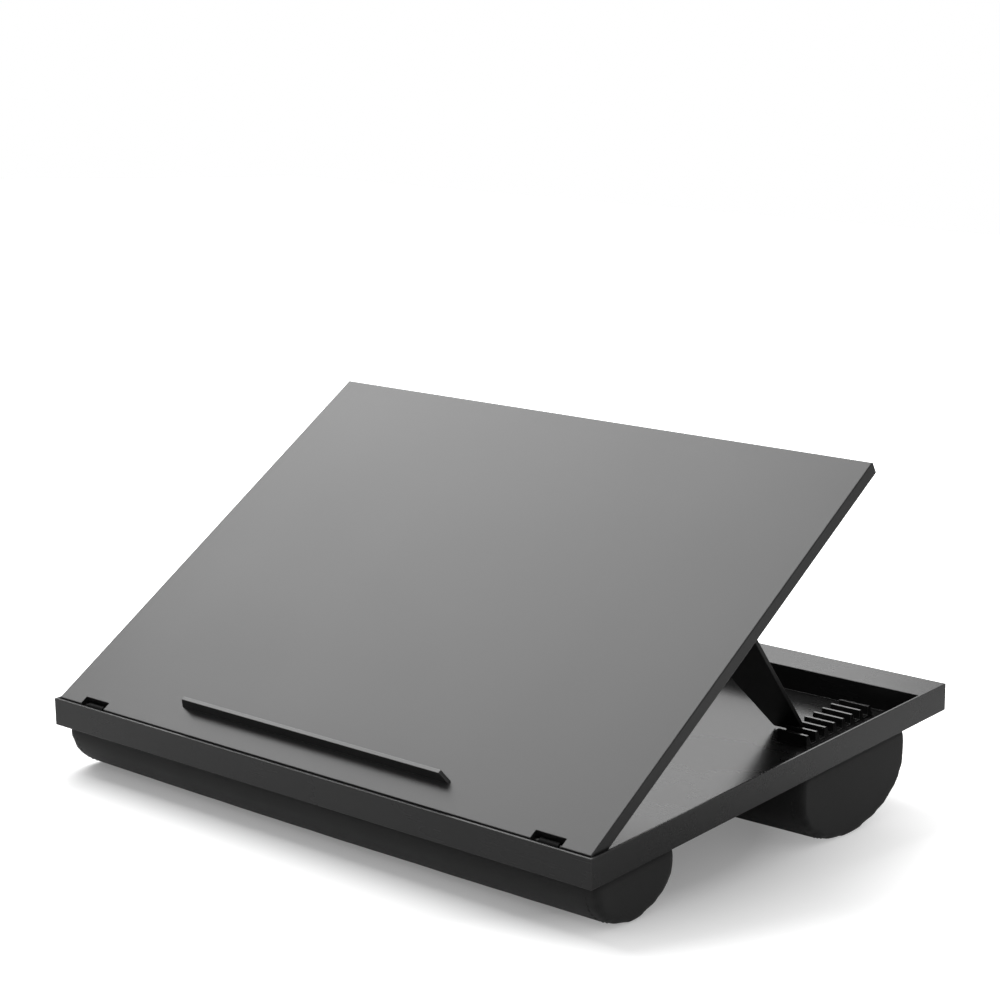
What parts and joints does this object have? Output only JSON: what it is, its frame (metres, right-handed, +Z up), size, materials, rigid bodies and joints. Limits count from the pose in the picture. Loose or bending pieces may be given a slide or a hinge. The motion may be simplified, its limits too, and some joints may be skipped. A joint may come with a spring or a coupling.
{
  "type": "adjustable lap desk",
  "caption": "Shallow tray on front and rear bolster cushions, with a flat platform hinged at the front edge and propped up at an angle in notch racks.",
  "frame": {"origin": "on the surface that the cushions stand on, below the middle of the outline", "axes": "+X right along the hinge axis, +Y to the back, +Z up; the tray itself leans forward by 4.9 degrees because the rear cushion is taller"},
  "size_m": [0.44, 0.3792, 0.2373],
  "materials": {
    "tray_black": "satin, fine moulded grain",
    "platform_black": "satin, fine moulded grain",
    "ledge_black": "satin",
    "prop_black": "matt",
    "rack_black": "semi-gloss",
    "bracket_black": "matt",
    "cushion_fabric": "close woven polyester",
    "cushion_filling": "open-cell foam",
    "fastening_tape": "hook-and-loop tape",
    "pin_steel": "ground",
    "screw_steel": "zinc plated"
  },
  "bodies": {
    "base": {"tray": "tray_black", "notch_rack_left": "rack_black", "notch_rack_right": "rack_black", "rack_screws": "screw_steel", "hinge_bracket_left": "bracket_black", "hinge_bracket_right": "bracket_black", "hinge_bracket_screws": "screw_steel", "hinge_pin_left": "pin_steel", "hinge_pin_right": "pin_steel", "front_cushion_cover": "cushion_fabric", "front_cushion_foam": "cushion_filling", "front_fastening_strips": "fastening_tape", "rear_cushion_cover": "cushion_fabric", "rear_cushion_foam": "cushion_filling", "rear_fastening_strips": "fastening_tape"},
    "platform": {"lid_panel": "platform_black", "stop_ledge": "ledge_black", "prop_bracket_left": "bracket_black", "prop_bracket_right": "bracket_black", "prop_bracket_screws": "screw_steel", "prop_pin_left": "pin_steel", "prop_pin_right": "pin_steel"},
    "prop": {"prop_frame": "prop_black"}
  },
  "joints": [
    {"name": "platform_hinge", "type": "hinge", "parent": "base", "child": "platform", "pos_m": [0, -0.18263, 0.04698], "axis": [1, 0, 0], "range_deg": [0, 59.5]},
    {"name": "prop_fold", "type": "hinge", "parent": "platform", "child": "prop", "pos_m": [0, -0.02427, 0.15681], "axis": [1, 0, 0], "range_deg": [0, 45]}
  ]
}
